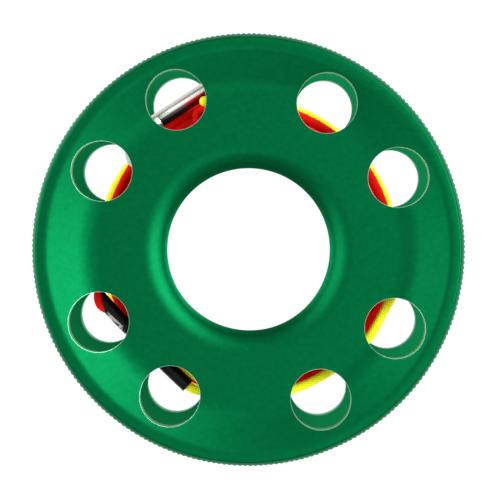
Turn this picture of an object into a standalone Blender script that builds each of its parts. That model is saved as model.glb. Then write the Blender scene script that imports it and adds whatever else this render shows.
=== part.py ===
"""Finger spool: a turned aluminium spool with a finger bore, wound line, a splice sleeve and a sprung clip.

Frame: metres, +Z along the spool's axis, the spool lying on its rear rim. The origin is at the middle of
that rim's plane. The front flange is on top, and +Y is the way that is up when the front is looked at.
"""

import math

import bmesh
import bpy
from mathutils import Vector

MM = 0.001

# Spool
RIM_DIAMETER = 99.0 * MM
SPOOL_WIDTH = 45.0 * MM
DRUM_DIAMETER = 49.0 * MM
WEB_THICKNESS = 3.0 * MM
CONE_TILT = 20.0
CONE_WIDTH = 6.0 * MM
DISH_FILLET_RADIUS = 14.6 * MM
STEP_WIDTH = 0.9 * MM
STEP_RISE = 0.6 * MM
CREST_WIDTH = 1.6 * MM
RIM_CHAMFER = 1.1 * MM
INNER_CHAMFER = 0.8 * MM
FRONT_BORE_DIAMETER = 38.0 * MM
REAR_BORE_DIAMETER = 41.4 * MM
FRONT_LIP_RADIUS = 5.4 * MM
REAR_LIP_RADIUS = 3.4 * MM
HOLE_DIAMETER = 13.8 * MM
HOLE_SETBACK = 11.4 * MM
HOLE_SPREAD = 18.0
DIAGONALS = 4
CUT_OVERRUN = 2.0 * MM

# Knurl on both rims
KNURL_TEETH = 259
KNURL_DEPTH = 0.28 * MM
TURN_STEPS = 74

# Line, and the gap that touching pieces keep
LINE_DIAMETER = 2.1 * MM
SEAT_GAP = 0.3 * MM
CORE_GAP = 0.5 * MM
WINDING_PITCH = 2.6 * MM
YELLOW_BULGE = 1.7 * MM
COLOUR_STEP = 2.99 * MM
BULGE_MARGIN = 2.5 * MM
PILE_DEPTH = 8.6 * MM
ORANGE_START = 164.0
ORANGE_TURNS = 3.17
YELLOW_START = 18.0
POINTS_PER_TURN = 24
STRAIGHT_END = LINE_DIAMETER
LEAST_SELF_GAP = 0.4 * MM

# Splice sleeve
SLEEVE_DIAMETER = 3.3 * MM
SLEEVE_BORE = 2.7 * MM
SLEEVE_LENGTH = 27.6 * MM
SLEEVE_SLANT = 3.2 * MM
SLEEVE_SHIFT = -2.4 * MM
SLEEVE_BOW = 0.2 * MM
SLEEVE_INSET = 0.2 * MM
SLEEVE_BEARING = 228.1
SLEEVE_STATIONS = 7
LINE_ENTRY = 7.0 * MM

# Clip
CLIP_BEARING = 124.15
CLIP_SETBACK = 2.25 * MM
BOLT_DIAMETER = 3.7 * MM
BOLT_CLEARANCE = 0.3 * MM
BOLT_STROKE = 6.5 * MM
BOLT_ENGAGED = 3.4 * MM
BARREL_DIAMETER = 7.0 * MM
BARREL_START = 12.3 * MM
BARREL_LENGTH = 14.2 * MM
BARREL_END_WALL = 1.0 * MM
HOOK_ROD_DIAMETER = 3.0 * MM
HOOK_TIP = -1.0 * MM
HOOK_LENGTH = 10.2 * MM
HOOK_SPAN = 9.6 * MM
HOOK_BULGE = 0.5 * MM
LUG_RADIUS = 2.6 * MM
LUG_THICKNESS = 3.0 * MM
LUG_REACH = 2.4 * MM
LUG_HOLE_DIAMETER = 2.6 * MM
KNOB_STEM_DIAMETER = 1.6 * MM
KNOB_HEAD_DIAMETER = 4.0 * MM
KNOB_HEAD_HEIGHT = 2.0 * MM
KNOB_NECK_LENGTH = 0.8 * MM
KNOB_SEAT_DEPTH = 1.7 * MM
SPRING_WIRE_DIAMETER = 0.5 * MM
SPRING_COIL_DIAMETER = 2.9 * MM
SPRING_TURNS = 5

# Places worked out from the sizes above
rim_radius = RIM_DIAMETER / 2
rim_root_radius = rim_radius - KNURL_DEPTH
drum_radius = DRUM_DIAMETER / 2
crest_outer = rim_radius - RIM_CHAMFER
crest_inner = crest_outer - CREST_WIDTH
cone_outer = crest_inner - STEP_WIDTH
cone_inner = cone_outer - CONE_WIDTH
tilt = math.radians(CONE_TILT)
fillet_inner = cone_inner - DISH_FILLET_RADIUS * math.sin(tilt)
fillet_rise = DISH_FILLET_RADIUS * (1 - math.cos(tilt))
cone_rise = CONE_WIDTH * math.tan(tilt)
dish_depth = fillet_rise + cone_rise + STEP_RISE
rim_thickness = WEB_THICKNESS + dish_depth
inner_rear_z = rim_thickness
inner_front_z = SPOOL_WIDTH - rim_thickness
hole_circle_radius = rim_radius - HOLE_SETBACK

line_radius = LINE_DIAMETER / 2
hook_rod_radius = HOOK_ROD_DIAMETER / 2
bolt_radius = BOLT_DIAMETER / 2
barrel_radius = BARREL_DIAMETER / 2
sleeve_radius = SLEEVE_DIAMETER / 2

# The orange tail passes over the hook's rod, just under the front flange, and the bolt lies on the pile.
tail_z = inner_front_z - SEAT_GAP - line_radius
clip_z = tail_z - line_radius - SEAT_GAP - hook_rod_radius
pile_top_z = clip_z - bolt_radius - SEAT_GAP
front_loop_z = pile_top_z - line_radius
rear_loop_z = inner_rear_z + SEAT_GAP + line_radius
side_loop_radius = drum_radius + PILE_DEPTH
over_pile_z = pile_top_z + SEAT_GAP + line_radius
yellow_start_z = front_loop_z - WINDING_PITCH * ORANGE_TURNS - COLOUR_STEP
yellow_turns = (yellow_start_z - rear_loop_z) / WINDING_PITCH
yellow_band = yellow_start_z - rear_loop_z + BULGE_MARGIN
clip_offset = side_loop_radius + line_radius + CLIP_SETBACK
sleeve_z = pile_top_z + SEAT_GAP + sleeve_radius
sleeve_offset = side_loop_radius - SLEEVE_INSET


def polar(radius, bearing, z):
    """Point at a radius and a bearing in degrees from +X."""
    angle = math.radians(bearing)
    return Vector((radius * math.cos(angle), radius * math.sin(angle), z))


def arc(centre, radius, start, end, steps):
    """Points (r, z) on an arc about centre, with the angles in degrees."""
    points = []
    for i in range(steps + 1):
        angle = math.radians(start + (end - start) * i / steps)
        points.append((centre[0] + radius * math.cos(angle), centre[1] + radius * math.sin(angle)))
    return points


# Scene, collections and materials
for old in list(bpy.data.objects):
    bpy.data.objects.remove(old, do_unlink=True)

parts = bpy.data.collections.new("finger_spool")
cutters = bpy.data.collections.new("finger_spool_cutters")
for group in (parts, cutters):
    bpy.context.scene.collection.children.link(group)


def material(name, colour, roughness, metallic):
    made = bpy.data.materials.new(name)
    made.use_nodes = True
    shader = made.node_tree.nodes["Principled BSDF"]
    shader.inputs["Base Color"].default_value = (*colour, 1)
    shader.inputs["Roughness"].default_value = roughness
    shader.inputs["Metallic"].default_value = metallic
    return made


anodised = material("green_anodised_aluminium", (0.0, 0.17, 0.055), 0.38, 1.0)
yellow_line = material("yellow_line", (0.82, 0.88, 0.02), 0.6, 0.0)
orange_line = material("orange_line", (0.85, 0.03, 0.005), 0.6, 0.0)
black_sleeve = material("black_shrink_sleeve", (0.012, 0.012, 0.012), 0.35, 0.0)
stainless = material("polished_stainless", (0.62, 0.6, 0.58), 0.16, 1.0)
spring_steel = material("spring_steel", (0.45, 0.45, 0.46), 0.3, 1.0)


def new_object(name, mesh, finish, group=parts):
    made = bpy.data.objects.new(name, mesh)
    group.objects.link(made)
    if finish:
        made.data.materials.append(finish)
    return made


def hide_cutter(cutter):
    cutter.hide_render = True
    cutter.display_type = "WIRE"


def shade(obj, degrees=35.0):
    obj.data.shade_smooth()
    obj.data.set_sharp_from_angle(angle=math.radians(degrees))


def boolean(target, other, operation):
    step = target.modifiers.new(other.name, "BOOLEAN")
    step.operation = operation
    step.object = other
    return step


def cylinder(name, radius, length, finish, group=parts, segments=24):
    """Cylinder along +Z from z = 0 to z = length."""
    mesh = bpy.data.meshes.new(name)
    shape = bmesh.new()
    bmesh.ops.create_cone(
        shape, cap_ends=True, segments=segments, radius1=radius, radius2=radius, depth=length
    )
    bmesh.ops.translate(shape, verts=shape.verts, vec=(0, 0, length / 2))
    shape.to_mesh(mesh)
    shape.free()
    return new_object(name, mesh, finish, group)


def box(name, size, centre, finish, group=parts):
    mesh = bpy.data.meshes.new(name)
    shape = bmesh.new()
    bmesh.ops.create_cube(shape, size=1)
    bmesh.ops.scale(shape, verts=shape.verts, vec=size)
    bmesh.ops.translate(shape, verts=shape.verts, vec=centre)
    shape.to_mesh(mesh)
    shape.free()
    return new_object(name, mesh, finish, group)


def turned(name, profile, finish, steps, group=parts):
    """Solid turned about Z from a closed profile that runs down its outer side."""
    mesh = bpy.data.meshes.new(name)
    shape = bmesh.new()
    corners = [shape.verts.new((r, 0, z)) for r, z in profile]
    for a, b in zip(corners, corners[1:] + corners[:1]):
        shape.edges.new((a, b))
    shape.to_mesh(mesh)
    shape.free()
    made = new_object(name, mesh, finish, group)
    screw = made.modifiers.new("turn", "SCREW")
    screw.steps = steps
    screw.render_steps = steps
    screw.use_merge_vertices = True
    screw.merge_threshold = 0.01 * MM
    return made


def tube(name, points, radius, finish, resolution, group=parts):
    """Tube with filled caps along points."""
    curve = bpy.data.curves.new(name, "CURVE")
    curve.dimensions = "3D"
    spline = curve.splines.new("POLY")
    spline.points.add(len(points) - 1)
    for slot, point in zip(spline.points, points):
        slot.co = (*point, 1)
    curve.bevel_depth = radius
    curve.bevel_resolution = resolution
    curve.use_fill_caps = True
    return new_object(name, curve, finish, group)


def as_mesh(curve_object):
    """The same tube as a welded mesh, which can be cut and joined."""
    bpy.context.view_layer.update()
    evaluated = curve_object.evaluated_get(bpy.context.evaluated_depsgraph_get())
    mesh = bpy.data.meshes.new_from_object(evaluated)
    shape = bmesh.new()
    shape.from_mesh(mesh)
    bmesh.ops.remove_doubles(shape, verts=shape.verts, dist=0.001 * MM)
    shape.to_mesh(mesh)
    shape.free()
    name, group = curve_object.name, curve_object.users_collection[0]
    place = curve_object.matrix_world.copy()
    parent = curve_object.parent
    bpy.data.objects.remove(curve_object)
    made = bpy.data.objects.new(name, mesh)
    group.objects.link(made)
    made.parent = parent
    made.matrix_world = place
    return made


def smooth_route(points, step):
    """Points every step or so along a smooth curve through the given points."""
    route = []
    last = len(points) - 1
    for i in range(last):
        before, a, b, after = points[max(i - 1, 0)], points[i], points[i + 1], points[min(i + 2, last)]
        count = max(1, round((b - a).length / step))
        for k in range(count):
            t = k / count
            route.append(
                0.5 * (2 * a + (b - before) * t + (2 * before - 5 * a + 4 * b - after) * t**2
                       + (3 * a - before - 3 * b + after) * t**3)
            )
    route.append(points[last])
    return route


# Spool body: flange, drum and flange turned in one piece, with knurled rims and eight holes in each flange
def flange_face(bore_radius, lip_radius):
    """Rings (r, height above the web's inner face) from the bore's lip out to the rim's crest."""
    flat = WEB_THICKNESS
    rings = arc((bore_radius + lip_radius, flat - lip_radius), lip_radius, 180, 90, 5)
    rings += arc((fillet_inner, flat + DISH_FILLET_RADIUS), DISH_FILLET_RADIUS, -90, CONE_TILT - 90, 3)
    rings.append((cone_outer, flat + fillet_rise + cone_rise))
    rings.append((crest_inner, rim_thickness))
    rings.append((crest_outer, rim_thickness))
    return rings


def knurl_points(radius, z):
    """Ring of teeth: a root and a tip in turn, starting at a root."""
    points = []
    for i in range(2 * KNURL_TEETH):
        angle = math.pi * i / KNURL_TEETH
        reach = radius if i % 2 else radius - KNURL_DEPTH
        points.append((reach * math.cos(angle), reach * math.sin(angle), z))
    return points


def ring_points(radius, z):
    return [
        (radius * math.cos(2 * math.pi * i / TURN_STEPS), radius * math.sin(2 * math.pi * i / TURN_STEPS), z)
        for i in range(TURN_STEPS)
    ]


def spool_rings():
    """Rings (radius, z, knurled) from the front lip, out and down over the whole body, to the rear lip."""
    rings = [(r, inner_front_z + h, False) for r, h in flange_face(FRONT_BORE_DIAMETER / 2, FRONT_LIP_RADIUS)]
    rim_low = inner_front_z + INNER_CHAMFER
    rings += [(rim_radius, SPOOL_WIDTH - RIM_CHAMFER, True), (rim_radius, rim_low, True)]
    rings += [(rim_root_radius - INNER_CHAMFER, inner_front_z, False), (drum_radius, inner_front_z, False)]
    rings += [(drum_radius, inner_rear_z, False), (rim_root_radius - INNER_CHAMFER, inner_rear_z, False)]
    rings += [(rim_radius, inner_rear_z - INNER_CHAMFER, True), (rim_radius, RIM_CHAMFER, True)]
    rear = flange_face(REAR_BORE_DIAMETER / 2, REAR_LIP_RADIUS)
    rings += [(r, inner_rear_z - h, False) for r, h in reversed(rear)]
    return rings


def join_rings(shape, upper, lower):
    """Faces between two rings, of which one may have more corners than the other."""
    for i in range(TURN_STEPS):
        sides = []
        for ring in (upper, lower):
            share = len(ring) // TURN_STEPS
            sides.append([ring[(i * share + k) % len(ring)] for k in range(share + 1)])
        if len(sides[0]) == len(sides[1]):
            for k in range(len(sides[0]) - 1):
                shape.faces.new((sides[0][k], sides[1][k], sides[1][k + 1], sides[0][k + 1]))
        else:
            shape.faces.new(sides[1] + sides[0][::-1])


def make_spool_body():
    mesh = bpy.data.meshes.new("spool_body")
    shape = bmesh.new()
    rings = []
    for radius, z, knurled in spool_rings():
        places = knurl_points(radius, z) if knurled else ring_points(radius, z)
        rings.append([shape.verts.new(place) for place in places])
    for upper, lower in zip(rings, rings[1:] + rings[:1]):
        join_rings(shape, upper, lower)
    bmesh.ops.triangulate(shape, faces=[face for face in shape.faces if len(face.verts) > 4])
    bmesh.ops.recalc_face_normals(shape, faces=shape.faces)
    shape.to_mesh(mesh)
    shape.free()
    body = new_object("spool_body", mesh, anodised)
    for diagonal in range(DIAGONALS):
        for side in (-1, 1):
            bearing = 45.0 + 90.0 * diagonal + side * HOLE_SPREAD
            number = 2 * diagonal + (side + 1) // 2 + 1
            length = SPOOL_WIDTH + 2 * CUT_OVERRUN
            drill = cylinder(f"hole_{number}_drill", HOLE_DIAMETER / 2, length, None, cutters)
            drill.location = polar(hole_circle_radius, bearing, -CUT_OVERRUN)
            hide_cutter(drill)
            boolean(body, drill, "DIFFERENCE")
    shade(body, 30.0)
    return body


# Line: a pile whose outer layer is one spiral of each colour, yellow at the rear and orange at the front
def loop_radius(z):
    """Middle of the outer layer's line at height z: the pile bulges where it is yellow."""
    share = abs(z - rear_loop_z - yellow_band / 2) / (yellow_band / 2)
    return side_loop_radius + YELLOW_BULGE * max(0.0, 1 - share**4)


def winding_points(start_bearing, start_z, turns, sense):
    """Points of a spiral down the pile, with a straight run of one diameter at each end."""
    count = round(turns * POINTS_PER_TURN)
    points = []
    for i in range(count + 1):
        turn = i / POINTS_PER_TURN
        z = start_z - WINDING_PITCH * turn
        points.append(polar(loop_radius(z), start_bearing + sense * 360.0 * turn, z))
    first = points[0] + (points[0] - points[1]).normalized() * STRAIGHT_END
    last = points[-1] + (points[-1] - points[-2]).normalized() * STRAIGHT_END
    return [first] + points + [last]


def least_self_gap(points, radius):
    """Least gap between stretches of one tube that lie half a turn or more apart along it."""
    apart = POINTS_PER_TURN // 2
    least = min(
        (points[i] - points[j]).length
        for i in range(len(points))
        for j in range(i + apart, len(points))
    )
    return least - 2 * radius


def make_core():
    """Inner layers, plain: they fill the drum up to the outer layer."""
    rear_z = inner_rear_z + SEAT_GAP
    inner = drum_radius + SEAT_GAP
    steps = 8
    heights = [front_loop_z] + [rear_loop_z + yellow_band * (steps - i) / steps for i in range(steps + 1)]
    outer = [(loop_radius(z) - line_radius - CORE_GAP, z) for z in heights]
    profile = [(inner, pile_top_z), (outer[0][0], pile_top_z)]
    profile += outer
    profile += [(outer[-1][0], rear_z), (inner, rear_z)]
    core = turned("line_core", profile, yellow_line, 48)
    shade(core)
    return core


def make_windings():
    stretches = {
        "line_orange_winding": (winding_points(ORANGE_START, front_loop_z, ORANGE_TURNS, -1), orange_line),
        "line_yellow_winding": (winding_points(YELLOW_START, yellow_start_z, yellow_turns, 1), yellow_line),
    }
    for name, (points, finish) in stretches.items():
        gap = least_self_gap(points, line_radius)
        print(f"{name}: {len(points)} points, least gap to itself {gap / MM:.2f} mm")
        if gap < LEAST_SELF_GAP:
            print(f"{name}: the loops lie closer than {LEAST_SELF_GAP / MM:.1f} mm")
        tube(name, points, line_radius, finish, 1)
    return stretches


# Splice sleeve: a black shrink sleeve over the joint of the two colours, lying on the front of the pile
sleeve_along = polar(1, SLEEVE_BEARING + 90.0, 0)
sleeve_outward = polar(1, SLEEVE_BEARING, 0)
sleeve_left = SLEEVE_SHIFT - SLEEVE_LENGTH / 2
sleeve_right = SLEEVE_SHIFT + SLEEVE_LENGTH / 2


def sleeve_point(along, aside=0.0):
    """Point on the sleeve's axis, which bows outwards between its ends, or beside it."""
    share = (along - SLEEVE_SHIFT) / (SLEEVE_LENGTH / 2)
    outward = sleeve_offset + SLEEVE_BOW * (1 - share**2) + aside
    return sleeve_outward * outward + sleeve_along * along + Vector((0, 0, sleeve_z))


def make_sleeve():
    stations = [
        sleeve_point(sleeve_left + SLEEVE_LENGTH * i / (SLEEVE_STATIONS - 1)) for i in range(SLEEVE_STATIONS)
    ]
    sleeve = as_mesh(tube("splice_sleeve", stations, sleeve_radius, black_sleeve, 3))
    overrun_start = stations[0] + (stations[0] - stations[1]).normalized() * CUT_OVERRUN
    overrun_end = stations[-1] + (stations[-1] - stations[-2]).normalized() * CUT_OVERRUN
    through = [overrun_start] + stations + [overrun_end]
    bore = as_mesh(tube("splice_sleeve_bore", through, SLEEVE_BORE / 2, None, 3, cutters))
    hide_cutter(bore)
    boolean(sleeve, bore, "DIFFERENCE")

    # The left end is cut on the slant, with its longer side towards the hub.
    side = 2 * SLEEVE_SLANT
    slant = box("splice_sleeve_slant_cutter", (side, side, side), (-side / 2, 0, 0), None, cutters)
    middle = sleeve_point(sleeve_left + SLEEVE_SLANT / 2)
    turn = math.atan2(SLEEVE_SLANT, SLEEVE_DIAMETER)
    slant.location = middle
    slant.rotation_euler = (0, 0, math.radians(SLEEVE_BEARING + 90.0) + turn)
    hide_cutter(slant)
    boolean(sleeve, slant, "DIFFERENCE")
    if not sleeve.data.materials:
        sleeve.data.materials.append(black_sleeve)
    shade(sleeve)
    return sleeve


# Free stretches of the line: routes as (bearing, radius, height), held by the pile all the way
def cylinder_route(stations):
    return [polar(radius, bearing, z) for bearing, radius, z in stations]


def make_leads(stretches):
    orange = stretches["line_orange_winding"][0]
    yellow = stretches["line_yellow_winding"][0]
    over_orange = side_loop_radius + LINE_DIAMETER + SEAT_GAP
    inside = [sleeve_point(sleeve_right - LINE_ENTRY), sleeve_point(sleeve_right)]
    into = yellow[0] + (yellow[0] - yellow[1]).normalized() * SEAT_GAP
    before = into + (yellow[0] - yellow[1]).normalized() * LINE_DIAMETER
    around = cylinder_route([
        (252.8, side_loop_radius + 1.8 * MM, over_pile_z + 0.3 * MM),
        (265.0, side_loop_radius + 1.4 * MM, over_pile_z + 0.1 * MM),
        (287.0, side_loop_radius + 1.1 * MM, over_pile_z),
        (306.0, side_loop_radius + 1.1 * MM, over_pile_z),
        (323.0, side_loop_radius + 1.6 * MM, over_pile_z),
        (337.0, side_loop_radius + 1.6 * MM, over_pile_z - 0.2 * MM),
        (346.0, over_orange, front_loop_z - 0.9 * MM),
        (356.0, over_orange + 0.1 * MM, front_loop_z - 5.0 * MM),
        (365.0, over_orange + 0.1 * MM, front_loop_z - 8.6 * MM),
    ])
    route = smooth_route(inside + around + [before, into], 2.4 * LINE_DIAMETER)
    tube("line_yellow_lead", route, line_radius, yellow_line, 2)

    inside = [
        sleeve_point(sleeve_left + LINE_ENTRY),
        sleeve_point(sleeve_left + SLEEVE_SLANT / 2),
        sleeve_point(sleeve_left - SEAT_GAP),
    ]
    into = orange[0] + (orange[0] - orange[1]).normalized() * SEAT_GAP
    before = into + (orange[0] - orange[1]).normalized() * LINE_DIAMETER
    around = cylinder_route([
        (196.6, side_loop_radius + 3.3 * MM, over_pile_z + 0.5 * MM),
        (189.0, side_loop_radius + 2.7 * MM, over_pile_z - 0.1 * MM),
        (179.0, side_loop_radius + 1.3 * MM, over_pile_z - 1.2 * MM),
    ])
    route = smooth_route(inside + around + [before, into], 1.6 * LINE_DIAMETER)
    tube("line_orange_lead", route, line_radius, orange_line, 2)
    return orange[-1], orange[-2]


# Clip: a sprung snap whose bolt lies along the pile. Its own frame has +X along the bolt, +Y outwards.
clip_frame = bpy.data.objects.new("clip_frame", None)
parts.objects.link(clip_frame)
clip_frame.location = polar(clip_offset, CLIP_BEARING, clip_z)
clip_frame.rotation_euler = (0, 0, math.radians(CLIP_BEARING - 90.0))
bpy.context.view_layer.update()


def lay_along_x(obj, x, y=0.0, z=0.0):
    """Turns a piece made along +Z to lie along the clip's +X, starting at x."""
    obj.rotation_euler = (0, math.radians(90.0), 0)
    obj.location = (x, y, z)


def clip_point(x, across, z):
    """World point from the clip's frame: across is towards the spool's axis."""
    return clip_frame.matrix_world @ Vector((x, -across, z))


def make_clip_body():
    barrel = cylinder("clip_body", barrel_radius, BARREL_LENGTH, stainless, segments=28)
    lay_along_x(barrel, BARREL_START)
    barrel.parent = clip_frame
    inset = barrel_radius + hook_rod_radius
    end_x = HOOK_TIP - HOOK_LENGTH
    mid = HOOK_SPAN / 2
    rod = [
        Vector((BARREL_START + hook_rod_radius, -(barrel_radius - 0.6 * hook_rod_radius), 0)),
        Vector((BARREL_START - hook_rod_radius, -0.62 * HOOK_SPAN, 0)),
        Vector((0.5 * BARREL_START, -0.93 * HOOK_SPAN, 0)),
        Vector((0, -HOOK_SPAN, 0)),
        Vector((0.45 * end_x, -0.97 * HOOK_SPAN, 0)),
        Vector((0.82 * end_x, -0.8 * HOOK_SPAN, 0)),
        Vector((end_x, -mid, 0)),
        Vector((0.86 * end_x, -0.12 * HOOK_SPAN, 0)),
        Vector((0.55 * end_x, HOOK_BULGE, 0)),
        Vector((HOOK_TIP - hook_rod_radius, 0, 0)),
        Vector((HOOK_TIP, 0, 0)),
    ]
    hook = as_mesh(tube("clip_hook", smooth_route(rod, hook_rod_radius), hook_rod_radius, None, 3, cutters))
    hook.parent = clip_frame
    hide_cutter(hook)
    boolean(barrel, hook, "UNION")

    lug_x = BARREL_START + BARREL_LENGTH + LUG_REACH
    tab = box(
        "clip_tab", (2 * LUG_REACH, 2 * LUG_RADIUS, LUG_THICKNESS), (lug_x - LUG_REACH, 0, 0), None, cutters
    )
    eye = cylinder("clip_eye", LUG_RADIUS, LUG_THICKNESS, None, cutters)
    eye.location = (lug_x, 0, -LUG_THICKNESS / 2)
    for piece in (tab, eye):
        piece.parent = clip_frame
        hide_cutter(piece)
        boolean(barrel, piece, "UNION")
    eye_hole = cylinder("clip_eye_drill", LUG_HOLE_DIAMETER / 2, LUG_THICKNESS + 2 * CUT_OVERRUN, None, cutters)
    eye_hole.location = (lug_x, 0, -LUG_THICKNESS / 2 - CUT_OVERRUN)

    bore_length = BARREL_LENGTH - BARREL_END_WALL + CUT_OVERRUN
    bore = cylinder("clip_bore_drill", bolt_radius + BOLT_CLEARANCE, bore_length, None, cutters)
    lay_along_x(bore, BARREL_START - CUT_OVERRUN)
    slot_half = KNOB_STEM_DIAMETER / 2 + BOLT_CLEARANCE
    slot = box(
        "clip_slot_cutter",
        (BOLT_STROKE + 2 * slot_half, inset, 2 * slot_half),
        (stem_x() + BOLT_STROKE / 2, inset / 2 + bolt_radius / 2, 0),
        None,
        cutters,
    )
    for piece in (eye_hole, bore, slot):
        piece.parent = clip_frame
        hide_cutter(piece)
        boolean(barrel, piece, "DIFFERENCE")
    shade(barrel)
    return barrel


def stem_x():
    """Place of the knob's stem along the bolt, half-way along the stretch that the barrel holds."""
    return BARREL_START + BOLT_ENGAGED / 2


def make_gate():
    """Bolt, knob and spring. The bolt slides along the clip's +X into the barrel."""
    nose_x = HOOK_TIP + SEAT_GAP
    tail_x = BARREL_START + BOLT_ENGAGED
    bolt = cylinder("gate_bolt", bolt_radius, tail_x - nose_x, stainless)
    lay_along_x(bolt, nose_x)
    seat = cylinder(
        "knob_seat_drill", KNOB_STEM_DIAMETER / 2 + BOLT_CLEARANCE, KNOB_SEAT_DEPTH + CUT_OVERRUN, None, cutters, 16
    )
    seat.rotation_euler = (math.radians(-90.0), 0, 0)
    seat.location = (stem_x(), bolt_radius - KNOB_SEAT_DEPTH, 0)
    hide_cutter(seat)
    for piece in (bolt, seat):
        piece.parent = clip_frame
    boolean(bolt, seat, "DIFFERENCE")
    shade(bolt)

    stem = KNOB_STEM_DIAMETER / 2
    head = KNOB_HEAD_DIAMETER / 2
    foot_y = bolt_radius - KNOB_SEAT_DEPTH + SEAT_GAP
    neck_y = barrel_radius + KNOB_NECK_LENGTH
    top_y = neck_y + KNOB_HEAD_HEIGHT
    rounding = 0.3 * KNOB_HEAD_HEIGHT
    profile = [
        (0, top_y - rounding / 2),
        (head / 2, top_y - rounding / 2),
        (head - rounding, top_y),
        (head, top_y - rounding),
        (head, neck_y + rounding),
        (head - rounding, neck_y),
        (stem, neck_y),
        (stem, foot_y),
        (0, foot_y),
    ]
    knob = turned("thumb_knob", profile, stainless, 20)
    knob.rotation_euler = (math.radians(-90.0), 0, 0)
    knob.location = (stem_x(), 0, 0)
    knob.parent = clip_frame
    shade(knob)

    blind_x = BARREL_START + BARREL_LENGTH - BARREL_END_WALL
    wire = SPRING_WIRE_DIAMETER / 2
    start = tail_x + SEAT_GAP + wire
    length = blind_x - SEAT_GAP - wire - start
    coil = (SPRING_COIL_DIAMETER - SPRING_WIRE_DIAMETER) / 2
    per_turn = 9
    points = []
    for i in range(SPRING_TURNS * per_turn + 1):
        angle = 2 * math.pi * i / per_turn
        x = start + length * i / (SPRING_TURNS * per_turn)
        points.append(Vector((x, coil * math.cos(angle), coil * math.sin(angle))))
    gap = min((points[i] - points[i + per_turn]).length for i in range(len(points) - per_turn)) - 2 * wire
    print(f"gate_spring: least gap between its curls {gap / MM:.2f} mm")
    spring = tube("gate_spring", points, wire, spring_steel, 1)
    spring.parent = clip_frame


def make_tail(end, before_end):
    """Orange tail: up the pile, back over its edge, over the hook's rod and into the clip's eye."""
    away = (end - before_end).normalized()
    start = end + away * SEAT_GAP
    over_orange = side_loop_radius + LINE_DIAMETER + SEAT_GAP
    above = tail_z - clip_z
    down = over_pile_z - clip_z
    route = [start, start + away * LINE_DIAMETER]
    route += cylinder_route([
        (91.0, over_orange + 0.1 * MM, front_loop_z - 6.0 * MM),
        (84.0, over_orange + 0.1 * MM, front_loop_z - 1.8 * MM),
        (79.5, over_orange - 1.0 * MM, over_pile_z + 0.2 * MM),
        (76.8, side_loop_radius - 1.4 * MM, over_pile_z + 0.3 * MM),
        (77.2, side_loop_radius - 4.0 * MM, over_pile_z),
        (82.5, side_loop_radius - 5.4 * MM, over_pile_z),
        (89.0, side_loop_radius - 4.0 * MM, over_pile_z + 0.9 * MM),
    ])
    for x, across, z in [
        (13.6 * MM, 6.6 * MM, above),
        (11.2 * MM, 4.9 * MM, above),
        (8.6 * MM, 3.5 * MM, above),
        (5.4 * MM, 2.9 * MM, above - 0.6 * MM),
        (3.6 * MM, 4.2 * MM, down + 0.4 * MM),
        (1.6 * MM, 5.4 * MM, down),
    ]:
        route.append(clip_point(x, across, z))
    tube("line_orange_tail", smooth_route(route, LINE_DIAMETER), line_radius, orange_line, 2)


make_spool_body()
make_core()
windings = make_windings()
make_sleeve()
winding_end, before_winding_end = make_leads(windings)
make_clip_body()
make_gate()
make_tail(winding_end, before_winding_end)
bpy.context.view_layer.update()
print(f"spool: inner width {(inner_front_z - inner_rear_z) / MM:.2f} mm, dish depth {dish_depth / MM:.2f} mm")
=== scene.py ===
import math

import bpy
from mathutils import Matrix, Vector


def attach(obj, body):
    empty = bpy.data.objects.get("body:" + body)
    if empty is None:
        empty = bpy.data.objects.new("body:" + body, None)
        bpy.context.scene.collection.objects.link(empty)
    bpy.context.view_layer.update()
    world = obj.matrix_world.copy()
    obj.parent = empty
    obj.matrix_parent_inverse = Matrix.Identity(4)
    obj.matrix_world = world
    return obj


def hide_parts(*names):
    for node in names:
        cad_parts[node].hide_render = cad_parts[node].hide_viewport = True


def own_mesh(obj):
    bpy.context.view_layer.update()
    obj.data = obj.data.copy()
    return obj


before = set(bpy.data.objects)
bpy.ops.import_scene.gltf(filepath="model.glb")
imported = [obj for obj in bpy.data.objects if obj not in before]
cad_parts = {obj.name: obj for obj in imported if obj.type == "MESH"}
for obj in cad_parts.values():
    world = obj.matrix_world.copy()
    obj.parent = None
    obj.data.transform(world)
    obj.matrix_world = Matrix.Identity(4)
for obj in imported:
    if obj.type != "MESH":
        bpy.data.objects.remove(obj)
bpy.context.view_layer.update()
bpy.ops.object.select_all(action="DESELECT")

# The camera: a long lens looking straight down on the front flange.
# It stands 57 cm above the front crest, a little off the spool's axis, and is rolled by about a degree.
camera_data = bpy.data.cameras.new("camera")
camera = bpy.data.objects.new("camera", camera_data)
bpy.context.scene.collection.objects.link(camera)
camera_place = Vector((0.0048, 0.0123, 0.6130))
camera_aim = Vector((0.00039, 0.00003, 0.0450))
camera_roll = math.radians(1.2)
sensor_width = 36.0
seen_width = 0.11396
back = (camera_place - camera_aim).normalized()
up = Vector((-math.sin(camera_roll), math.cos(camera_roll), 0))
right = up.cross(back).normalized()
up = back.cross(right).normalized()
camera.matrix_world = Matrix.Translation(camera_place) @ Matrix((right, up, back)).transposed().to_4x4()
camera_data.sensor_width = sensor_width
camera_data.lens = sensor_width * (camera_place - camera_aim).length / seen_width
camera_data.clip_start = 0.05
camera_data.clip_end = 10.0
bpy.context.scene.camera = camera
bpy.context.scene.view_settings.view_transform = "Standard"

# The room: plain white all round, which the camera and the metal see, and which lights the spool evenly.
world = bpy.data.worlds.new("room")
bpy.context.scene.world = world
world.use_nodes = True
room_light = world.node_tree.nodes["Background"]
room_light.inputs["Color"].default_value = (1, 1, 1, 1)
room_light.inputs["Strength"].default_value = 1.0

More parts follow.
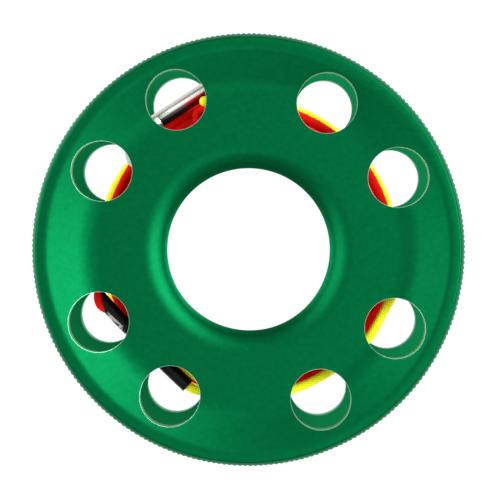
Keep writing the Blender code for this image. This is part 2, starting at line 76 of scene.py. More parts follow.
# The floor: a white sheet that the spool lies on.
# It looks white to the camera and in reflections, and still takes a faint shadow.
bpy.ops.mesh.primitive_plane_add(size=4.0, location=(0, 0, 0))
floor = bpy.context.object
floor.name = "floor"
bpy.ops.object.transform_apply(location=True, rotation=True, scale=True)
floor_finish = bpy.data.materials.new("white_sheet")
floor_finish.use_nodes = True
nodes, links = floor_finish.node_tree.nodes, floor_finish.node_tree.links
nodes.clear()
path = nodes.new("ShaderNodeLightPath")
rays = nodes.new("ShaderNodeMath")
rays.operation = "MAXIMUM"
rays_all = nodes.new("ShaderNodeMath")
rays_all.operation = "MAXIMUM"
share = nodes.new("ShaderNodeMath")
share.operation = "MULTIPLY"
share.inputs[1].default_value = 0.93
glow = nodes.new("ShaderNodeEmission")
glow.inputs["Color"].default_value = (1, 1, 1, 1)
glow.inputs["Strength"].default_value = 1.08
paper = nodes.new("ShaderNodeBsdfDiffuse")
paper.inputs["Color"].default_value = (0.8, 0.8, 0.8, 1)
mix = nodes.new("ShaderNodeMixShader")
out = nodes.new("ShaderNodeOutputMaterial")
links.new(path.outputs["Is Camera Ray"], rays.inputs[0])
links.new(path.outputs["Is Glossy Ray"], rays.inputs[1])
links.new(rays.outputs["Value"], rays_all.inputs[0])
links.new(path.outputs["Is Transmission Ray"], rays_all.inputs[1])
links.new(rays_all.outputs["Value"], share.inputs[0])
links.new(share.outputs["Value"], mix.inputs["Fac"])
links.new(paper.outputs["BSDF"], mix.inputs[1])
links.new(glow.outputs["Emission"], mix.inputs[2])
links.new(mix.outputs["Shader"], out.inputs["Surface"])
floor.data.materials.append(floor_finish)

# The lamps: a large soft box high at the right, a weaker one low at the left, and a faint one overhead.
lamp_target = Vector((0, 0, 0.03))
for name, place, width, height, power in (
    ("lamp_right", (0.555, 0.20, 0.68), 0.92, 0.60, 17.0),
    ("lamp_left", (-0.53, 0.10, 0.42), 0.62, 0.50, 5.0),
    ("lamp_above", (0.03, -0.25, 0.64), 0.25, 0.20, 0.5),
):
    lamp_data = bpy.data.lights.new(name, "AREA")
    lamp_data.shape = "RECTANGLE"
    lamp_data.size, lamp_data.size_y = width, height
    lamp_data.energy = power
    lamp = bpy.data.objects.new(name, lamp_data)
    bpy.context.scene.collection.objects.link(lamp)
    lamp.location = place
    lamp.rotation_euler = (lamp_target - Vector(place)).to_track_quat("-Z", "Y").to_euler()

# The spool: one aluminium turning with a finger bore, a drum and a dished flange at each end.
# Both rims are knurled, each flange is drilled with eight holes, and the whole is anodised satin green.
spool_width = 0.0450
middle_height = spool_width / 2
rim_radius = 0.0495
rim_edge = 0.04842
drum_radius = 0.0245
drum_fillet = 0.0007
front_web = 0.04134
rear_web = spool_width - front_web
front_inner = 0.03834
rear_inner = spool_width - front_inner
knurl_top, knurl_foot = 0.0439, 0.03914
rear_top, rear_foot = spool_width - knurl_foot, spool_width - knurl_top
knurl_teeth = 259
knurl_depth = 0.00028
ring_corners = 4 * knurl_teeth
tolerance = 0.00002


def turned_arc(across, up, radius, start, end, steps):
    """Rings (radius, height) on an arc about a point that far across and up, with its angles in degrees."""
    angles = [math.radians(start + (end - start) * i / steps) for i in range(steps + 1)]
    return [(across + radius * math.cos(a), up + radius * math.sin(a)) for a in angles]


def dished_face(bore, lip, lip_end, lip_steps):
    """Rings of one flange's face from the bore out to the knurl, with heights above the web's face.

    The lip is an arc that is lip_end degrees steep where it meets the bore's edge. Outside the flat web the
    face rises in a hollow arc, and rounds over into the rim's crest.
    """
    web_end, hollow, steepest = 0.0342, 0.0146, 21.6
    crest_start, crest_sink, crest = 0.04702, 0.00034, 0.0040
    rings = turned_arc(bore + lip * math.sin(math.radians(lip_end)), -lip, lip, 90 + lip_end, 90, lip_steps)
    rings += turned_arc(web_end, hollow, hollow, -90, steepest - 90, 8)
    rings += turned_arc(crest_start, -crest_sink, crest, 90 + steepest, 90, 6)
    rings += [(0.04828, 0.003660), (rim_edge, 0.003640), (0.04852, 0.003560)]
    return rings


def take(piece):
    """Selects one piece alone, for the operators that follow."""
    bpy.ops.object.select_all(action="DESELECT")
    bpy.context.view_layer.objects.active = piece
    piece.select_set(True)


def turn_up(rings):
    """Extrudes a turned piece up through its rings (radius, height). The first is there, and is selected."""
    for (radius, height), (next_radius, next_height) in zip(rings, rings[1:]):
        bpy.ops.mesh.extrude_region_move(TRANSFORM_OT_translate={"value": (0, 0, next_height - height)})
        grow = next_radius / radius
        bpy.ops.transform.resize(value=(grow, grow, 1), center_override=(0, 0, next_height))


front_rings = [(r, front_web + h) for r, h in dished_face(0.0190, 0.0072, 48.6, 12)]
rear_rings = [(r, rear_web - h) for r, h in dished_face(0.0207, 0.0034, 73, 10)]
groove_rings = [(rim_edge, front_inner), (drum_radius + drum_fillet, front_inner)]
groove_rings += [(drum_radius, front_inner - drum_fillet), (drum_radius, rear_inner + drum_fillet)]
groove_rings += [(drum_radius + drum_fillet, rear_inner), (rim_edge, rear_inner)]
front_knurl = [(rim_radius, knurl_top), (rim_radius, knurl_foot)]
rear_knurl = [(rim_radius, rear_top), (rim_radius, rear_foot)]
spool_rings = front_rings + front_knurl + groove_rings + rear_knurl + rear_rings[::-1]

first_radius, first_height = spool_rings[0]
bpy.ops.mesh.primitive_circle_add(vertices=ring_corners, radius=first_radius, location=(0, 0, first_height))
spool = bpy.context.object
spool.name = spool.data.name = "spool_turning"
bpy.ops.object.mode_set(mode="EDIT")
turn_up(spool_rings)
bpy.ops.mesh.select_all(action="DESELECT")
bpy.ops.mesh.select_non_manifold()
bpy.ops.mesh.bridge_edge_loops()
bpy.ops.object.mode_set(mode="OBJECT")
bpy.ops.object.transform_apply(location=True, rotation=False, scale=False)


def pick_knurl(offsets, heights):
    """Selects the knurl's corners at these heights whose number within their tooth is in offsets."""
    for corner in spool.data.vertices:
        out = math.hypot(corner.co.x, corner.co.y) > rim_radius - tolerance
        number = round(math.atan2(corner.co.y, corner.co.x) / math.tau * ring_corners) % 4
        level = any(abs(corner.co.z - z) < tolerance for z in heights)
        corner.select = out and number in offsets and level


# The knurl's flutes run out through the chamfers, so their ends step towards the chamfer as they go in.
bpy.ops.object.mode_set(mode="EDIT")
bpy.ops.mesh.select_mode(type="VERT")
for offsets, depth in (((0,), knurl_depth), ((1, 3), 0.45 * knurl_depth)):
    for heights, side in (((knurl_top, rear_top), 1), ((knurl_foot, rear_foot), -1)):
        bpy.ops.object.mode_set(mode="OBJECT")
        pick_knurl(offsets, heights)
        bpy.ops.object.mode_set(mode="EDIT")
        bpy.ops.transform.translate(value=(0, 0, side * depth))
        shrink = (rim_radius - depth) / rim_radius
        bpy.ops.transform.resize(value=(shrink, shrink, 1), center_override=(0, 0, 0))
bpy.ops.mesh.select_all(action="SELECT")
bpy.ops.mesh.normals_make_consistent(inside=False)
bpy.ops.object.mode_set(mode="OBJECT")

# The holes are drilled in pairs beside the diagonals, straight through both flanges.
hole_bearings = (27, 63, 117, 153, 207, 243, 297, 333)
hole_circle = 0.0381
hole_radius = 0.0069
drill_length = 0.060


def polar(radius, bearing, height):
    """Point at a radius and a bearing in degrees from +X."""
    angle = math.radians(bearing)
    return Vector((radius * math.cos(angle), radius * math.sin(angle), height))


def merge(piece, other, way):
    """Joins other to piece, or cuts it out of piece."""
    take(piece)
    step = piece.modifiers.new("merge", "BOOLEAN")
    step.operation = way
    step.solver = "MANIFOLD"
    step.object = other
    bpy.ops.object.modifier_apply(modifier="merge")
    bpy.data.objects.remove(other)


drills = []
for bearing in hole_bearings:
    place = polar(hole_circle, bearing, middle_height)
    bpy.ops.mesh.primitive_cylinder_add(vertices=96, radius=hole_radius, depth=drill_length, location=place)
    drills.append(bpy.context.object)
for drill in drills:
    drill.select_set(True)
bpy.ops.object.join()
merge(spool, bpy.context.object, "DIFFERENCE")
bpy.ops.object.shade_smooth_by_angle(angle=math.radians(32))

# Fine scratches left by turning, and the grain left by blasting: rings about the axis and specks.
turned_grain = bpy.data.node_groups.new("turned_grain", "ShaderNodeTree")
turned_grain.interface.new_socket("Ring Size", in_out="INPUT", socket_type="NodeSocketFloat")
turned_grain.interface.new_socket("Speck Size", in_out="INPUT", socket_type="NodeSocketFloat")
turned_grain.interface.new_socket("Rings", in_out="OUTPUT", socket_type="NodeSocketFloat")
turned_grain.interface.new_socket("Specks", in_out="OUTPUT", socket_type="NodeSocketFloat")
nodes, links = turned_grain.nodes, turned_grain.links
given = nodes.new("NodeGroupInput")
made = nodes.new("NodeGroupOutput")
place = nodes.new("ShaderNodeTexCoord")
flat = nodes.new("ShaderNodeVectorMath")
flat.operation = "MULTIPLY"
flat.inputs[1].default_value = (1, 1, 0)
reach = nodes.new("ShaderNodeVectorMath")
reach.operation = "LENGTH"
per_ring = nodes.new("ShaderNodeMath")
per_ring.operation = "DIVIDE"
rings = nodes.new("ShaderNodeTexNoise")
rings.noise_dimensions = "1D"
rings.inputs["Scale"].default_value = 1.0
rings.inputs["Detail"].default_value = 3.0
per_speck = nodes.new("ShaderNodeVectorMath")
per_speck.operation = "DIVIDE"
specks = nodes.new("ShaderNodeTexNoise")
specks.inputs["Scale"].default_value = 1.0
specks.inputs["Detail"].default_value = 2.0
links.new(place.outputs["Object"], flat.inputs[0])
links.new(flat.outputs["Vector"], reach.inputs[0])
links.new(reach.outputs["Value"], per_ring.inputs[0])
links.new(given.outputs["Ring Size"], per_ring.inputs[1])
links.new(per_ring.outputs["Value"], rings.inputs["W"])
links.new(place.outputs["Object"], per_speck.inputs[0])
links.new(given.outputs["Speck Size"], per_speck.inputs[1])
links.new(per_speck.outputs["Vector"], specks.inputs["Vector"])
links.new(rings.outputs["Fac"], made.inputs["Rings"])
links.new(specks.outputs["Fac"], made.inputs["Specks"])

green_anodising = bpy.data.materials.new("green_anodising")
green_anodising.use_nodes = True
nodes, links = green_anodising.node_tree.nodes, green_anodising.node_tree.links
shader = nodes["Principled BSDF"]
shader.inputs["Metallic"].default_value = 1.0
shader.inputs["Specular Tint"].default_value = (0.24, 0.80, 0.46, 1)
shader.inputs["Coat Weight"].default_value = 0.015
shader.inputs["Coat Roughness"].default_value = 0.35
grain = nodes.new("ShaderNodeGroup")
grain.node_tree = turned_grain
grain.inputs["Ring Size"].default_value = 0.00022
grain.inputs["Speck Size"].default_value = 0.00022
place = nodes.new("ShaderNodeTexCoord")
flat = nodes.new("ShaderNodeVectorMath")
flat.operation = "MULTIPLY"
flat.inputs[1].default_value = (1, 1, 0)
reach = nodes.new("ShaderNodeVectorMath")
reach.operation = "LENGTH"
rim_wear = nodes.new("ShaderNodeMapRange")
rim_wear.inputs["From Min"].default_value = 0.04850
rim_wear.inputs["From Max"].default_value = 0.04930
patches = nodes.new("ShaderNodeTexNoise")
patches.inputs["Scale"].default_value = 900.0
patches.inputs["Detail"].default_value = 3.0
tone = nodes.new("ShaderNodeMix")
tone.data_type = "RGBA"
tone.inputs["A"].default_value = (0.0, 0.056, 0.0168, 1)
tone.inputs["B"].default_value = (0.0, 0.087, 0.0262, 1)
worn = nodes.new("ShaderNodeMix")
worn.data_type = "RGBA"
worn.inputs["B"].default_value = (0.065, 0.25, 0.14, 1)
# The holes' outer edges carry a painted highlight: a thin pale ring about each hole's axis, in place of the
# light an eased edge would catch. Every hole lies like the first one, once its place is folded into the first
# 45 degrees.
folded = nodes.new("ShaderNodeVectorMath")
folded.operation = "ABSOLUTE"
links.new(flat.outputs["Vector"], folded.inputs[0])
sides = nodes.new("ShaderNodeSeparateXYZ")
links.new(folded.outputs["Vector"], sides.inputs["Vector"])
longer = nodes.new("ShaderNodeMath")
longer.operation = "MAXIMUM"
links.new(sides.outputs["X"], longer.inputs[0])
links.new(sides.outputs["Y"], longer.inputs[1])
shorter = nodes.new("ShaderNodeMath")
shorter.operation = "MINIMUM"
links.new(sides.outputs["X"], shorter.inputs[0])
links.new(sides.outputs["Y"], shorter.inputs[1])
in_wedge = nodes.new("ShaderNodeCombineXYZ")
links.new(longer.outputs["Value"], in_wedge.inputs["X"])
links.new(shorter.outputs["Value"], in_wedge.inputs["Y"])
from_hole = nodes.new("ShaderNodeVectorMath")
from_hole.operation = "DISTANCE"
from_hole.inputs[1].default_value = polar(hole_circle, hole_bearings[0], 0)
links.new(in_wedge.outputs["Vector"], from_hole.inputs[0])
on_edge = nodes.new("ShaderNodeMath")
on_edge.operation = "COMPARE"
on_edge.inputs[1].default_value = hole_radius
on_edge.inputs[2].default_value = 0.00005
links.new(from_hole.outputs["Value"], on_edge.inputs[0])
levels = nodes.new("ShaderNodeSeparateXYZ")
links.new(place.outputs["Object"], levels.inputs["Vector"])
between_edges = nodes.new("ShaderNodeMath")
between_edges.operation = "COMPARE"
between_edges.inputs[1].default_value = middle_height
between_edges.inputs[2].default_value = 0.0177
links.new(levels.outputs["Z"], between_edges.inputs[0])
at_outside = nodes.new("ShaderNodeMath")
at_outside.operation = "SUBTRACT"
at_outside.inputs[0].default_value = 1.0
links.new(between_edges.outputs["Value"], at_outside.inputs[1])
edge = nodes.new("ShaderNodeMath")
edge.operation = "MULTIPLY"
links.new(on_edge.outputs["Value"], edge.inputs[0])
links.new(at_outside.outputs["Value"], edge.inputs[1])
# Painted highlight: the pale ring on the face at each hole's mouth.
painted_edge_highlight = nodes.new("ShaderNodeMix")
painted_edge_highlight.data_type = "RGBA"
painted_edge_highlight.inputs["B"].default_value = (0.24, 0.37, 0.32, 1)
links.new(edge.outputs["Value"], painted_edge_highlight.inputs["Factor"])
rough = nodes.new("ShaderNodeMapRange")
rough.inputs["To Min"].default_value = 0.38
rough.inputs["To Max"].default_value = 0.46
fine = nodes.new("ShaderNodeMath")
fine.operation = "MULTIPLY_ADD"
fine.inputs[1].default_value = 0.35
bump = nodes.new("ShaderNodeBump")
bump.inputs["Strength"].default_value = 0.30
bump.inputs["Distance"].default_value = 0.00003
links.new(place.outputs["Object"], flat.inputs[0])
links.new(flat.outputs["Vector"], reach.inputs[0])
links.new(reach.outputs["Value"], rim_wear.inputs["Value"])
links.new(place.outputs["Object"], patches.inputs["Vector"])
links.new(patches.outputs["Fac"], tone.inputs["Factor"])
links.new(tone.outputs["Result"], worn.inputs["A"])
links.new(rim_wear.outputs["Result"], worn.inputs["Factor"])
# Between the flanges the turning is coarser, so the faces there are duller; their colour is painted lighter,
# as painted light on these shaded faces.
in_groove = nodes.new("ShaderNodeMath")
in_groove.operation = "COMPARE"
in_groove.inputs[1].default_value = middle_height
in_groove.inputs[2].default_value = front_inner - middle_height + tolerance
links.new(levels.outputs["Z"], in_groove.inputs[0])
painted_groove_light = nodes.new("ShaderNodeMix")
painted_groove_light.data_type = "RGBA"
painted_groove_light.inputs["B"].default_value = (0.002, 0.118, 0.039, 1)
links.new(in_groove.outputs["Value"], painted_groove_light.inputs["Factor"])
links.new(worn.outputs["Result"], painted_groove_light.inputs["A"])
links.new(painted_groove_light.outputs["Result"], painted_edge_highlight.inputs["A"])
links.new(painted_edge_highlight.outputs["Result"], shader.inputs["Base Color"])
links.new(grain.outputs["Rings"], rough.inputs["Value"])
duller = nodes.new("ShaderNodeMath")
duller.operation = "MULTIPLY_ADD"
duller.inputs[1].default_value = 0.22
links.new(in_groove.outputs["Value"], duller.inputs[0])
links.new(rough.outputs["Result"], duller.inputs[2])
links.new(duller.outputs["Value"], shader.inputs["Roughness"])
links.new(grain.outputs["Specks"], fine.inputs[0])
links.new(grain.outputs["Rings"], fine.inputs[2])
links.new(fine.outputs["Value"], bump.inputs["Height"])
links.new(bump.outputs["Normal"], shader.inputs["Normal"])
spool.data.materials.clear()
spool.data.materials.append(green_anodising)
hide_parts("spool_body")
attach(spool, "spool")

# The line: 2.1 mm braided nylon in fluorescent yellow and orange, wound on the drum in a loose pile.
# Its outer layer is one spiral of each colour, yellow at the rear and orange at the front.
line_radius = 0.00105
winding_pitch = 0.0026
turn_points = 60
front_loop = 0.03094
rear_loop = 0.00801
side_loop = 0.0331
over_pile = 0.03334


def near(bearing, middle, spread):
    """1 at the middle bearing, falling off to nothing beside it."""
    return math.exp(-((((bearing - middle + 180.0) % 360.0 - 180.0) / spread) ** 2))


def pile_radius(height, bearing):
    """Middle of the outer layer's line. It bulges where it is yellow, and by the clip where it is orange."""
    fullness = 1 - 0.75 * near(bearing, 118.0, 24.0) - 0.28 * near(bearing, 45.0, 26.0)
    fullness += 0.30 * near(bearing, 161.0, 17.0)
    yellow_bulge = 0.0017 * fullness * max(0.0, 1 - (abs(height - 0.01511) / 0.0071) ** 4)
    orange_bulge = 0.0020 * near(bearing, 112.0, 24.0) * max(0.0, 1 - (abs(height - 0.0262) / 0.0060) ** 4)
    return side_loop + yellow_bulge + orange_bulge


def wound(start_bearing, start_height, turns, sense, inwards=0.0, pitch=winding_pitch):
    """Points of a spiral down the pile, lying inwards of its outer layer."""
    points = []
    for i in range(round(turns * turn_points) + 1):
        turn = i / turn_points
        height = start_height - pitch * turn
        bearing = start_bearing + sense * 360.0 * turn
        points.append(polar(pile_radius(height, bearing) - inwards, bearing, height))
    return points


def smooth_route(points, step=0.0007):
    """Points every step or so along a smooth curve through the given points."""
    route = []
    last = len(points) - 1
    for i in range(last):
        before, a, b, after = points[max(i - 1, 0)], points[i], points[i + 1], points[min(i + 2, last)]
        count = max(1, round((b - a).length / step))
        for k in range(count):
            t = k / count
            route.append(
                0.5 * (2 * a + (b - before) * t + (2 * before - 5 * a + 4 * b - after) * t**2
                       + (3 * a - before - 3 * b + after) * t**3)
            )
    route.append(points[last])
    return route


def round_drum(stations, radius=0.0, height=0.0):
    """Points of a route round the drum. Stations (bearing, radius, height) count from a radius and height."""
    return [polar(radius + r, bearing, height + h) for bearing, r, h in stations]


def led_in(lead, winding):
    """A lead that runs on smoothly into the start of its winding, with the winding itself."""
    route = smooth_route(lead + [winding[0], winding[3]])
    joined = min(range(len(route)), key=lambda i: (route[i] - winding[0]).length)
    return route[:joined] + winding


# The braid: twelve strands each way cross on the slant, so it shows small lozenges, with crevices between
# them that the line's finish darkens as painted shade.
braid = bpy.data.node_groups.new("braid", "ShaderNodeTree")
braid.interface.new_socket("Picks Along", in_out="INPUT", socket_type="NodeSocketFloat")
braid.interface.new_socket("Picks Around", in_out="INPUT", socket_type="NodeSocketFloat")
braid.interface.new_socket("Height", in_out="OUTPUT", socket_type="NodeSocketFloat")
nodes, links = braid.nodes, braid.links
given = nodes.new("NodeGroupInput")
made = nodes.new("NodeGroupOutput")
place = nodes.new("ShaderNodeUVMap")
split = nodes.new("ShaderNodeSeparateXYZ")
links.new(place.outputs["UV"], split.inputs["Vector"])
along = nodes.new("ShaderNodeMath")
along.operation = "MULTIPLY"
links.new(split.outputs["X"], along.inputs[0])
links.new(given.outputs["Picks Along"], along.inputs[1])
around = nodes.new("ShaderNodeMath")
around.operation = "MULTIPLY"
links.new(split.outputs["Y"], around.inputs[0])
links.new(given.outputs["Picks Around"], around.inputs[1])
ridges = []
for slant in ("ADD", "SUBTRACT"):
    cross = nodes.new("ShaderNodeMath")
    cross.operation = slant
    links.new(along.outputs["Value"], cross.inputs[0])
    links.new(around.outputs["Value"], cross.inputs[1])
    turn = nodes.new("ShaderNodeMath")
    turn.operation = "MULTIPLY"
    turn.inputs[1].default_value = math.pi
    links.new(cross.outputs["Value"], turn.inputs[0])
    wave = nodes.new("ShaderNodeMath")
    wave.operation = "SINE"
    links.new(turn.outputs["Value"], wave.inputs[0])
    ridge = nodes.new("ShaderNodeMath")
    ridge.operation = "ABSOLUTE"
    links.new(wave.outputs["Value"], ridge.inputs[0])
    ridges.append(ridge)
lozenge = nodes.new("ShaderNodeMath")
lozenge.operation = "MULTIPLY"
links.new(ridges[0].outputs["Value"], lozenge.inputs[0])
links.new(ridges[1].outputs["Value"], lozenge.inputs[1])
rounded = nodes.new("ShaderNodeMath")
rounded.operation = "POWER"
rounded.inputs[1].default_value = 0.6
links.new(lozenge.outputs["Value"], rounded.inputs[0])
links.new(rounded.outputs["Value"], made.inputs["Height"])


def braided_line(name, crevice_shade, crown, glow):
    """Braided nylon dyed with a fluorescent colour. Its fluorescence is painted as a faint glow of its own,
    and its crevices are darkened with painted shade.
    """
    finish = bpy.data.materials.new(name)
    finish.use_nodes = True
    nodes, links = finish.node_tree.nodes, finish.node_tree.links
    shader = nodes["Principled BSDF"]
    shader.inputs["Metallic"].default_value = 0.0
    shader.inputs["Specular IOR Level"].default_value = 0.06
    # Painted glow: the line gives out light of its own, lit or not, in place of its fluorescence.
    shader.inputs["Emission Strength"].default_value = glow
    picks = nodes.new("ShaderNodeGroup")
    picks.node_tree = braid
    picks.inputs["Picks Along"].default_value = 2.0
    picks.inputs["Picks Around"].default_value = 12.0
    place = nodes.new("ShaderNodeTexCoord")
    fuzz = nodes.new("ShaderNodeTexNoise")
    fuzz.inputs["Scale"].default_value = 900.0
    fuzz.inputs["Detail"].default_value = 2.0
    links.new(place.outputs["Object"], fuzz.inputs["Vector"])
    depth = nodes.new("ShaderNodeMath")
    depth.operation = "MULTIPLY_ADD"
    depth.inputs[1].default_value = 0.25
    links.new(fuzz.outputs["Fac"], depth.inputs[0])
    links.new(picks.outputs["Height"], depth.inputs[2])
    # Painted shade: the braid's crevices take the darker colour, and its crowns the lighter.
    shade = nodes.new("ShaderNodeMix")
    shade.data_type = "RGBA"
    shade.inputs["A"].default_value = crevice_shade
    shade.inputs["B"].default_value = crown
    links.new(picks.outputs["Height"], shade.inputs["Factor"])
    links.new(shade.outputs["Result"], shader.inputs["Base Color"])
    links.new(shade.outputs["Result"], shader.inputs["Emission Color"])
    rough = nodes.new("ShaderNodeMapRange")
    rough.inputs["To Min"].default_value = 0.75
    rough.inputs["To Max"].default_value = 0.5
    links.new(picks.outputs["Height"], rough.inputs["Value"])
    links.new(rough.outputs["Result"], shader.inputs["Roughness"])
    bump = nodes.new("ShaderNodeBump")
    bump.inputs["Strength"].default_value = 0.6
    bump.inputs["Distance"].default_value = 0.00006
    links.new(depth.outputs["Value"], bump.inputs["Height"])
    links.new(bump.outputs["Normal"], shader.inputs["Normal"])
    return finish


orange_line = braided_line("orange_line", (0.42, 0.002, 0.0, 1), (0.82, 0.004, 0.0, 1), 0.08)
yellow_line = braided_line("yellow_line", (0.42, 0.41, 0.002, 1), (0.80, 0.81, 0.016, 1), 0.12)


def round_wire(name, points, radius, resolution):
    """A round wire or cord along points, as a closed mesh. Its UV runs from 0 to 1 in X along the points."""
    curve = bpy.data.curves.new(name, "CURVE")
    curve.dimensions = "3D"
    spline = curve.splines.new("POLY")
    spline.points.add(len(points) - 1)
    for knot, point in zip(spline.points, points):
        knot.co = (*point, 1)
    curve.bevel_depth = radius
    curve.bevel_resolution = resolution
    curve.use_fill_caps = True
    wire = bpy.data.objects.new(name, curve)
    bpy.context.scene.collection.objects.link(wire)
    take(wire)
    bpy.ops.object.convert(target="MESH")
    bpy.ops.object.mode_set(mode="EDIT")
    bpy.ops.mesh.select_all(action="SELECT")
    bpy.ops.mesh.remove_doubles(threshold=0.000002)
    bpy.ops.mesh.normals_make_consistent(inside=False)
    bpy.ops.object.mode_set(mode="OBJECT")
    return bpy.context.object


def lay_line(name, points, finish, *replaced):
    """One stretch of line along points, whose braid follows it."""
    cord = round_wire(name, points, line_radius, 6)
    run = [0.0]
    for a, b in zip(points, points[1:]):
        run.append(run[-1] + (b - a).length)
    for corner in cord.data.uv_layers[0].data:
        corner.uv.x = run[round(corner.uv.x * (len(points) - 1))] / (2 * line_radius)
    cord.data.materials.clear()
    cord.data.materials.append(finish)
    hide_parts(*replaced)
    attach(cord, "spool")


# The sleeve's own line runs chordwise over the front of the pile. Its ends are measured along it.
sleeve_outward = polar(1, 228.1, 0)
sleeve_along = polar(1, 318.1, 0)
sleeve_left, sleeve_right = -0.0162, 0.0114
sleeve_reach, sleeve_height = 0.0329, 0.03394
tube_length = 0.0300
tube_bend = 0.0011


def sleeve_point(along, aside=0.0, rise=0.0):
    """Point on the sleeve's axis, which bends inwards to its left, or beside it."""
    outward = sleeve_reach - tube_bend * ((sleeve_right - along) / tube_length) ** 2 + aside
    return sleeve_outward * outward + sleeve_along * along + Vector((0, 0, sleeve_height + rise))


# The clip lies across the pile at the top left. Its own frame has +X along the bolt, +Y outwards and +Z up,
# and starts beside the hook's tip.
clip_bearing, clip_turn = 124.15, 34.15
clip_reach, clip_height = 0.0364, 0.03414
clip_frame = Matrix.Translation(polar(clip_reach, clip_bearing, clip_height))
clip_frame @= Matrix.Rotation(math.radians(clip_turn), 4, "Z")


def by_clip(stations):
    """Points of a route by the clip, from millimetres along its bolt, inwards from it and above the floor."""
    return [
        clip_frame @ Vector((x * 0.001, -inward * 0.001, height * 0.001 - clip_height))
        for x, inward, height in stations
    ]


# Yellow: out of the sleeve's right end, along the front of the pile, and down into its winding.
yellow_wind = wound(18.0, 0.01971, 4.5, 1)
yellow_lead = [sleeve_point(sleeve_right - 0.007), sleeve_point(sleeve_right)]
yellow_lead += round_drum(
    (
        (252.8, 0.0018, 0.0003), (265.0, 0.0014, 0.0001), (287.0, 0.0011, 0.0), (306.0, 0.0011, 0.0),
        (323.0, 0.0016, 0.0), (337.0, 0.0016, -0.0002), (346.0, 0.0024, -0.0033), (356.0, 0.0025, -0.0074),
        (365.0, 0.0025, -0.0110),
    ),
    side_loop, over_pile,
)
yellow_run = led_in(yellow_lead, yellow_wind)
lay_line("line_yellow_outer", yellow_run, yellow_line, "line_yellow_lead", "line_yellow_winding")

# Orange: out of the sleeve's slanted mouth, round the front of the pile and down in its winding. Its end
# comes up over the pile's front edge, crosses the hook's rod, and turns down beside the bolt on to the pile.
orange_wind = wound(164.0, front_loop, 3.17, -1)
orange_lead = [sleeve_point(sleeve_left + 0.007), sleeve_point(sleeve_left + 0.0036)]
orange_lead += [sleeve_point(sleeve_left + 0.0018, 0.0006, 0.0001)]
orange_lead += round_drum(
    (
        (202.0, 0.0037, 0.0007), (199.1, 0.0037, 0.0006), (196.0, 0.0030, 0.0003), (189.0, 0.0020, -0.0001),
        (179.0, 0.0011, -0.0012),
    ),
    side_loop, over_pile,
)
orange_tail = round_drum(
    (
        (91.0, 0.0356, 0.02494), (84.0, 0.0356, 0.02914), (79.5, 0.0345, 0.03354), (76.8, 0.0317, 0.03364),
        (77.2, 0.0291, 0.03334), (82.5, 0.0277, 0.03334), (89.0, 0.0291, 0.03424),
    )
)
orange_tail += by_clip(
    (
        (13.6, 6.6, 36.99), (11.8, 6.4, 36.6), (10.5, 4.8, 35.6), (9.6, 3.7, 34.8), (8.7, 3.2, 34.3),
        (7.6, 3.2, 33.9), (6.7, 3.8, 33.8), (6.2, 4.9, 33.9), (5.2, 5.6, 33.5), (3.2, 5.9, 33.34),
        (0.8, 5.9, 33.34),
    )
)
orange_run = led_in(orange_lead, orange_wind)[:-1] + smooth_route([orange_wind[-1]] + orange_tail)
lay_line(
    "line_orange_outer", orange_run, orange_line,
    "line_orange_lead", "line_orange_winding", "line_orange_tail",
)

# Inner layers: orange loops across the front of the pile, which shift inwards once a turn and step outwards
# below the clip, a close yellow layer below the outer one, and yellow loops across the rear.
shift_share = 0.12
loop_gap = 0.00215
front_spiral = []
for i in range(170):
    whole, part = divmod(i / turn_points, 1)
    shift = max(0.0, (part - 1 + shift_share) / shift_share)
    bearing = 225.0 - 360.0 * i / turn_points
    inwards = loop_gap * (whole + shift * shift * (3 - 2 * shift)) - 0.0016 * near(bearing, 112.0, 24.0)
    front_spiral.append(polar(0.03095 - inwards, bearing, front_loop))
lay_line("line_front_loops", front_spiral, orange_line, "line_core")
second_layer = wound(200.0, 0.02880, 9.9, 1, inwards=0.0023, pitch=0.0021)
lay_line("line_second_layer", second_layer, yellow_line, "line_core")
rear_spiral = []
for i in range(160):
    turn = i / turn_points
    rear_spiral.append(polar(0.0312 - 0.0022 * turn, 18.0 + 360.0 * turn, rear_loop))
lay_line("line_rear_loops", rear_spiral, yellow_line, "line_core")

# A yellow loop that shows beside the lead, and a yellow end, melted to a bead, that lies by the clip.
beside_lead = round_drum(
    (
        (234.0, 0.0296, 0.0306), (240.0, 0.0306, 0.0322), (248.0, 0.0320, 0.0329), (258.0, 0.0330, 0.0318),
        (266.0, 0.0325, 0.0305), (275.0, 0.0304, 0.0290),
    )
)
lay_line("line_yellow_loop", smooth_route(beside_lead), yellow_line, "line_core")
yellow_end = by_clip(
    (
        (10.1, 2.2, 36.6), (11.1, 3.3, 36.1), (12.4, 4.5, 35.2), (14.0, 5.6, 33.2), (15.2, 6.0, 30.0),
        (16.6, 7.3, 26.8), (20.6, 12.2, 24.6),
    )
)
lay_line("line_yellow_end", smooth_route(yellow_end, 0.0004), yellow_line, "line_core")
bead_radius = 0.00122
bpy.ops.mesh.primitive_uv_sphere_add(segments=24, ring_count=16, radius=bead_radius, location=yellow_end[0])
bead = bpy.context.object
bead.name = bead.data.name = "line_yellow_bead"
bpy.ops.object.mode_set(mode="EDIT")
bpy.ops.transform.resize(value=(1.05, 1.0, 0.95), center_override=yellow_end[0])
bpy.ops.object.mode_set(mode="OBJECT")
bpy.ops.object.transform_apply(location=True, rotation=True, scale=True)
bpy.ops.object.shade_smooth()
bead.data.materials.append(yellow_line)
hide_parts("line_core")
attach(bead, "spool")

